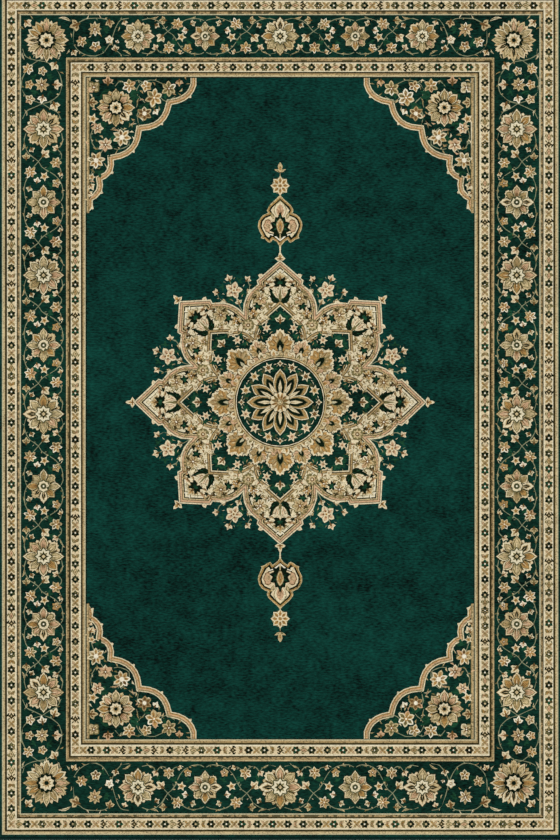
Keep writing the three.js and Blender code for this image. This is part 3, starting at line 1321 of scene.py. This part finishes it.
def colour_borders(spots, triangles, yarns):
    """The edges between two yarns, as pairs of points, without points that lie on straight lines."""
    seen = {}
    borders = set()
    for triangle, yarn in zip(triangles, yarns):
        for start, end in zip(triangle, triangle[1:] + triangle[:1]):
            other = seen.pop((end, start), None)
            if other is None:
                seen[start, end] = yarn
            elif other != yarn:
                borders.add((start, end))
    neighbours = defaultdict(set)
    for start, end in borders:
        neighbours[start].add(end)
        neighbours[end].add(start)
    for _ in range(STRAIGHT_PASSES):
        kept = set()
        for spot in list(neighbours):
            if len(neighbours[spot]) != 2 or spot in kept:
                continue
            one, other = neighbours[spot]
            chord = spots[other] - spots[one]
            off = abs(((spots[spot] - spots[one]) * chord.conjugate()).imag) / max(abs(chord), 1e-6)
            if off < STRAIGHT and other not in neighbours[one]:
                for end, far in ((one, other), (other, one)):
                    neighbours[end].discard(spot)
                    neighbours[end].add(far)
                del neighbours[spot]
                kept |= {one, other}
    return [(a, b) for a in neighbours for b in neighbours[a] if a < b]


def top_yarns(shapes, spots, triangles, covers):
    """The yarn of the last shape over each triangle.

    Cutting now and then takes the outside of a shape for its inside. Such a shape covers far more than
    its own area, and then its triangles are looked up one by one.
    """
    covered = defaultdict(float)
    for triangle, cover in zip(triangles, covers):
        area = spread([spots[k] for k in triangle])
        for shape in cover:
            covered[shape] += area
    middles = np.array([sum(spots[k] for k in triangle) / 3 for triangle in triangles])
    spilt = {
        shape: within(shapes[shape][0], middles)
        for shape, area in covered.items()
        if area > 2 * spread(shapes[shape][0]) + SPILT
    }
    yarns = []
    for at, cover in enumerate(covers):
        top = max(cover)
        if top in spilt and not spilt[top][at]:
            held = [shape for shape in cover if shape not in spilt or spilt[shape][at]]
            top = max(held, default=0)
        yarns.append(shapes[top][1])
    return yarns


def visible_edges(shapes):
    """Cuts up the drawing: its points, triangles and their yarns, and the edges between two yarns."""
    points, faces = [], []
    for shape, _ in shapes:
        faces.append(list(range(len(points), len(points) + len(shape))))
        points += shape
    spots, triangles, covers = cut(points, [], faces, DRAWN_NEAREST)
    yarns = top_yarns(shapes, spots, triangles, covers)
    return spots, triangles, yarns, colour_borders(spots, triangles, yarns)


def weave():
    """Cuts the drawing into triangles that each lie in one yarn.

    Many edges lie under later shapes, so the mesh is made from the visible ones alone.
    """
    outline = outline_at(SIDE_INSET + SHOULDER)
    spots, triangles, yarns, borders = visible_edges([(outline, "ground"), *art.shapes])
    used = sorted({end for edge in borders for end in edge})
    order = {spot: len(outline) + k for k, spot in enumerate(used)}
    edges = [(order[a], order[b]) for a, b in borders]
    rim = list(range(len(outline)))
    woven, faces, _ = cut(outline + [spots[spot] for spot in used], edges, [rim], WOVEN_NEAREST)
    drawn = BVHTree.FromPolygons([(p.real, p.imag, 0) for p in spots], triangles)
    dyed = []
    for triangle in faces:
        middle = sum(woven[k] for k in triangle) / 3
        found = drawn.ray_cast(Vector((middle.real, middle.imag, 1)), DOWN)[2]
        dyed.append("ground" if found is None else yarns[found])
    where = {(round(p.real, 2), round(p.imag, 2)): k for k, p in enumerate(woven)}
    rim = [where[round(p.real, 2), round(p.imag, 2)] for p in outline]
    return woven, faces, dyed, rim


def unfold(mesh, top_faces, around):
    """The piece's UV map: the top over most of the square, then the edge, then the underside."""
    layer = mesh.uv_layers.new(name="OFBake")
    edge_faces = len(mesh.polygons) - top_faces - 1
    bands = edge_faces // around
    left, width = ACROSS_ROOM
    for face in mesh.polygons:
        for place, loop in enumerate(face.loop_indices):
            spot = mesh.vertices[mesh.loops[loop].vertex_index].co / MM
            across, along = spot.x / WIDTH + 0.5, spot.y / LENGTH + 0.5
            start, height = TOP_ROOM if face.index < top_faces else UNDER_ROOM
            if top_faces <= face.index < top_faces + edge_faces:
                band, step = divmod(face.index - top_faces, around)
                start, height = EDGE_ROOM
                across = (step + (place > 1)) / around
                along = (band + (place in (1, 2))) / bands
            layer.data[loop].uv = (left + width * across, start + height * along)


def new_piece(name, vertices, faces):
    """An object from places in millimetres."""
    mesh = bpy.data.meshes.new(name)
    mesh.from_pydata([Vector(v) * MM for v in vertices], [], faces)
    piece = bpy.data.objects.new(name, mesh)
    bpy.context.collection.objects.link(piece)
    return piece


def make_pile():
    """The carpet: its woven top, then row below row of its edge, and its underside."""
    spots, triangles, yarns, rim = weave()
    vertices = [(p.real, p.imag, PILE_TOP) for p in spots]
    faces = [tuple(t) for t in triangles]
    row = rim
    for depth, height in edge_rows():
        below = [len(vertices) + k for k in range(len(rim))]
        vertices += [(p.real, p.imag, height) for p in outline_at(depth)]
        faces += zip(row, below, below[1:] + below[:1], row[1:] + row[:1])
        row = below
    faces.append(tuple(row[::-1]))
    piece = new_piece("carpet_pile", vertices, faces)
    dyes = {name: (*linear(colour), uneven) for name, (colour, uneven) in YARNS.items()}
    yarns += ["field"] * (len(rim) * (RIM_STEPS + 1))
    yarns += ["backing"] * (len(faces) - len(yarns))
    colours = np.array([dyes[name] for name, face in zip(yarns, faces) for _ in face], np.float32)
    attribute = piece.data.color_attributes.new("yarn", "FLOAT_COLOR", "CORNER")
    attribute.data.foreach_set("color", colours.ravel())
    unfold(piece.data, len(triangles), len(rim))
    return piece


def draw():
    frames()
    guard(*OUTER_GUARD)
    guard(*INNER_GUARD)
    main_border()
    corners()
    with art.at(1j * MEDALLION_Y):
        pendants()
        medallion()


# ---------------------------------------------------------------- bindings

BINDING_WIDTH = 10.3  # how far the overcasting reaches in from the carpet's outline
BINDING_HEIGHT = 7
INNER_ROUND = 2  # radius of its two inner edges
SLOT_END = 3.7  # how near to the outline the slot for the foundation reaches
MITRE_GAP = 0.3
WRAP_PITCH = 5  # from one turn of the yarn to the next
WRAP_STEPS = 4
WRAP_DEPTH = 0.8  # how deep the grooves between the turns are
WRAP_LEAN = 0.6  # how far a turn leans as it goes round, in turns


def rounded(corner, radius, angles):
    """Points of a section round a corner: inset, height, and the way inwards that grooves take."""
    for angle in angles:
        spot = corner + radius * cis(angle)
        yield spot.real, spot.imag, -cis(angle) if angle % 360 else 0


def binding_section():
    """The section of a binding: its outer half round, and a slot for the foundation in its inner side."""
    half = BINDING_HEIGHT / 2
    inner = BINDING_WIDTH - INNER_ROUND
    top = BINDING_HEIGHT - INNER_ROUND
    return [
        *rounded(half + half * 1j, half, range(270, 89, -30)),
        *rounded(inner + top * 1j, INNER_ROUND, (90, 45, 0)),
        (SLOT_END, top, 0),
        (SLOT_END, INNER_ROUND, 0),
        *rounded(inner + INNER_ROUND * 1j, INNER_ROUND, (0, -45, -90)),
    ]


def unfold_binding(mesh, section, rows):
    """The piece's UV map: its length along the square, the two ends beside it."""
    around = len(section)
    layer = mesh.uv_layers.new(name="OFBake")
    for face in mesh.polygons:
        for place, loop in enumerate(face.loop_indices):
            if face.index < 2:
                inset_by, height, _ = section[mesh.loops[loop].vertex_index % around]
                uv = (0.98 + 0.001 * inset_by, 0.3 + 0.5 * face.index + 0.01 * height)
            else:
                row, k = divmod(face.index - 2, around)
                turn = (k + (place > 1)) / around
                along = (row + (place in (1, 2))) / rows
                uv = (0.01 + 0.95 * turn, 0.01 + 0.98 * along)
            layer.data[loop].uv = uv


def make_binding(name, quarter_turns):
    """One straight binding: yarn wound round the carpet's edge, mitred at both ends."""
    edge, reach = (WIDTH / 2, LENGTH / 2) if quarter_turns % 2 == 0 else (LENGTH / 2, WIDTH / 2)
    section = binding_section()
    around = len(section)
    rows = WRAP_STEPS * round(2 * reach / WRAP_PITCH)
    vertices = []
    for row in range(rows + 1):
        share = 2 * row / rows - 1
        for k, (inset_by, height, inwards) in enumerate(section):
            phase = row / WRAP_STEPS + WRAP_LEAN * k / around
            groove = WRAP_DEPTH * (1 - abs(math.sin(math.pi * phase)))
            spot = complex(inset_by, height) + groove * inwards
            place = complex(edge - spot.real, share * (reach - spot.real - MITRE_GAP))
            place *= 1j**quarter_turns
            vertices.append((place.real, place.imag, spot.imag))
    faces = [tuple(range(around)), tuple(range(rows * around, (rows + 1) * around))[::-1]]
    for row in range(rows):
        for k in range(around):
            here, beside_it = row * around + k, row * around + (k + 1) % around
            faces.append((here, here + around, beside_it + around, beside_it))
    piece = new_piece(name + "_yarn", vertices, faces)
    unfold_binding(piece.data, section, rows)
    return piece


# ---------------------------------------------------------------- materials


class Nodes:
    """A short way to write a material's nodes."""

    def __init__(self, name):
        self.material = bpy.data.materials.new(name)
        self.material.use_nodes = True
        self.tree = self.material.node_tree
        self.shader = self.tree.nodes["Principled BSDF"]

    def put(self, node, inputs):
        """Sets inputs of a node, each to a value or to what another node gives."""
        for name, value in dict(inputs).items():
            if isinstance(value, bpy.types.NodeSocket):
                self.tree.links.new(value, node.inputs[name])
            else:
                node.inputs[name].default_value = value

    def add(self, kind, inputs=(), **settings):
        node = self.tree.nodes.new("ShaderNode" + kind)
        for name, value in settings.items():
            setattr(node, name, value)
        self.put(node, inputs)
        return node

    def math(self, operation, a, b=0.0, c=0.0):
        return self.add("Math", {0: a, 1: b, 2: c}, operation=operation).outputs[0]

    def times(self, a, b):
        return self.math("MULTIPLY", a, b)

    def scaled(self, value, factor, offset):
        return self.math("MULTIPLY_ADD", value, factor, offset)

    def red(self, colour):
        return self.add("SeparateColor", {"Color": colour}).outputs[0]

    def ramp(self, value, *limits):
        """A value stretched from between two limits to between two others, 0 and 1 by default."""
        return self.add("MapRange", dict(enumerate((value, *limits)))).outputs[0]

    def noise(self, where, scale, detail=2.0):
        inputs = {"Vector": where, "Scale": scale, "Detail": detail}
        return self.add("TexNoise", inputs).outputs["Fac"]

    def cells(self, where, scale, randomness):
        inputs = {"Vector": where, "Scale": scale, "Randomness": randomness}
        return self.add("TexVoronoi", inputs).outputs

    def stretched(self, scale):
        place = self.add("TexCoord").outputs["Object"]
        return self.add("Mapping", {"Vector": place, "Scale": scale}).outputs[0]

    def bump(self, height, strength, distance):
        inputs = {"Height": height, "Strength": strength, "Distance": distance}
        return self.add("Bump", inputs).outputs[0]


# Per metre, and for those in three numbers along X, Y and Z
TUFTS = 330.0
KNOTS = 105.0
FIBRES = 900.0
STREAKS = (70, 210, 70)
SLOW_DRIFT = (1.1, 2.6, 1)
SPECKS = (190, 240, 190)


def pile_material():
    """Cut pile: each tuft has its own tone, and the dye runs in streaks across the carpet."""
    n = Nodes("cut_pile")
    yarn = n.add("Attribute", attribute_name="yarn").outputs
    place = n.stretched((1, 1, 1))
    tufts = n.cells(place, TUFTS, 0.75)
    tone = n.red(tufts["Color"])
    streaks = n.noise(n.stretched(STREAKS), 1.0, 3.0)
    patches = n.noise(place, 16.0, 4.0)
    slow = n.noise(n.stretched(SLOW_DRIFT), 1.0, 2.0)
    uneven = n.scaled(streaks, 3.4, -1.7)
    uneven = n.math("ADD", uneven, n.scaled(patches, 1.8, -0.9))
    uneven = n.math("ADD", uneven, n.scaled(slow, 1.3, -0.65))
    allowed = n.math("MINIMUM", yarn["Alpha"], 1.0)
    uneven = n.times(uneven, allowed)
    uneven = n.math("ADD", uneven, n.scaled(tone, 0.3, 0.85))
    uneven = n.math("MAXIMUM", uneven, 0.12)
    # Yarns with an unevenness of 2 are dashed with dark knots
    knot = n.red(n.cells(place, KNOTS, 0.8)["Color"])
    dashed = n.math("GREATER_THAN", yarn["Alpha"], 1.5)
    dash = n.times(n.math("LESS_THAN", knot, 0.42), n.times(dashed, 0.8))
    # Pale yarns keep their brightness but carry dark flecks
    pale = n.ramp(n.red(yarn["Color"]), 0.06, 0.2)
    specks = n.noise(n.stretched(SPECKS), 1.0, 2.0)
    speck = n.ramp(specks, 0.5, 0.66, 0.0, 0.72)
    speck = n.times(n.times(speck, pale), allowed)
    calm = n.add("Mix", {0: pale, 2: uneven, 3: n.scaled(uneven, 0.32, 0.68)}).outputs[0]
    colour = n.add("VectorMath", {0: yarn["Color"], "Scale": calm}, operation="SCALE").outputs[0]
    fleck = (*linear("#2f3320"), 1)
    flecked = n.math("MAXIMUM", speck, dash)
    mixed = n.add("Mix", {0: flecked, 6: colour, 7: fleck}, data_type="RGBA").outputs[2]
    height = n.scaled(tufts["Distance"], -1.0, streaks)
    look = {
        "Base Color": mixed,
        "Normal": n.bump(height, 0.35, 0.0012),
        "Roughness": n.scaled(tone, 0.1, 0.86),
        "Specular IOR Level": 0.06,
        "Sheen Weight": 0.03,
        "Sheen Roughness": 0.5,
    }
    n.put(n.shader, look)
    return n.material


def binding_material():
    """Overcasting yarn: fine fibres, and a tone that drifts along the edge."""
    n = Nodes("binding_yarn")
    place = n.stretched((1, 1, 1))
    fibres = n.noise(place, FIBRES, 3.0)
    patches = n.noise(place, 22.0, 3.0)
    turns = n.noise(place, 120.0, 1.0)
    tone = n.scaled(fibres, 0.5, n.times(patches, 0.5))
    tone = n.scaled(turns, 0.5, n.math("ADD", tone, -0.25))
    shades = {6: (*linear("#02120f"), 1), 7: (*linear("#0b352e"), 1)}
    look = {
        "Base Color": n.add("Mix", {0: tone, **shades}, data_type="RGBA").outputs[2],
        "Normal": n.bump(fibres, 0.4, 0.0005),
        "Roughness": 0.85,
        "Specular IOR Level": 0.1,
        "Sheen Weight": 0.03,
    }
    n.put(n.shader, look)
    return n.material


def floor_material():
    n = Nodes("pale_floor")
    n.put(n.shader, {"Base Color": (0.78, 0.77, 0.75, 1), "Roughness": 0.9})
    return n.material


# ---------------------------------------------------------------- the scene

# In metres
CAMERA_HEIGHT = 12.0
FRAME_HEIGHT = 2.966  # how much of the carpet's length the picture shows
FRAME_CENTRE = (-0.0005, -0.0152)
FLOOR_SIZE = 16
FLOOR_GAP = 0.0004  # between the floor and the carpet
# The light from all round and from the lamp: strengths, and in degrees the lamp's width and tilt
SKY_STRENGTH = 0.55
LAMP_STRENGTH = 1.75
LAMP_WIDTH = 30
LAMP_TILT = (-32, -22, 0)


def stage():
    bpy.ops.mesh.primitive_plane_add(size=FLOOR_SIZE, location=(0, 0, -FLOOR_GAP))
    floor = bpy.context.object
    floor.name = "floor"
    floor.data.materials.append(floor_material())


def lights():
    world = bpy.data.worlds.new("studio")
    world.use_nodes = True
    sky = world.node_tree.nodes["Background"].inputs
    sky["Color"].default_value = (1, 1, 1, 1)
    sky["Strength"].default_value = SKY_STRENGTH
    bpy.context.scene.world = world
    sun = bpy.data.lights.new("soft_light", "SUN")
    sun.energy = LAMP_STRENGTH
    sun.angle = math.radians(LAMP_WIDTH)
    lamp = bpy.data.objects.new("soft_light", sun)
    lamp.rotation_euler = [math.radians(tilt) for tilt in LAMP_TILT]
    bpy.context.collection.objects.link(lamp)


def camera():
    data = bpy.data.cameras.new("camera")
    data.sensor_width = 36
    data.lens = data.sensor_width * (CAMERA_HEIGHT - PILE_TOP * MM) / FRAME_HEIGHT
    viewer = bpy.data.objects.new("camera", data)
    viewer.location = (*FRAME_CENTRE, CAMERA_HEIGHT)
    bpy.context.collection.objects.link(viewer)
    bpy.context.scene.camera = viewer


draw()
pile = make_pile()
pile.data.materials.append(pile_material())
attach(pile, "root")
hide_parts("carpet")

edge_yarn = binding_material()
for turns, name in enumerate(("binding_right", "binding_far", "binding_left", "binding_near")):
    binding = make_binding(name, turns)
    binding.data.materials.append(edge_yarn)
    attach(binding, "root")
    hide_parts(name)

stage()
lights()
camera()
bpy.context.scene.view_settings.view_transform = "Standard"
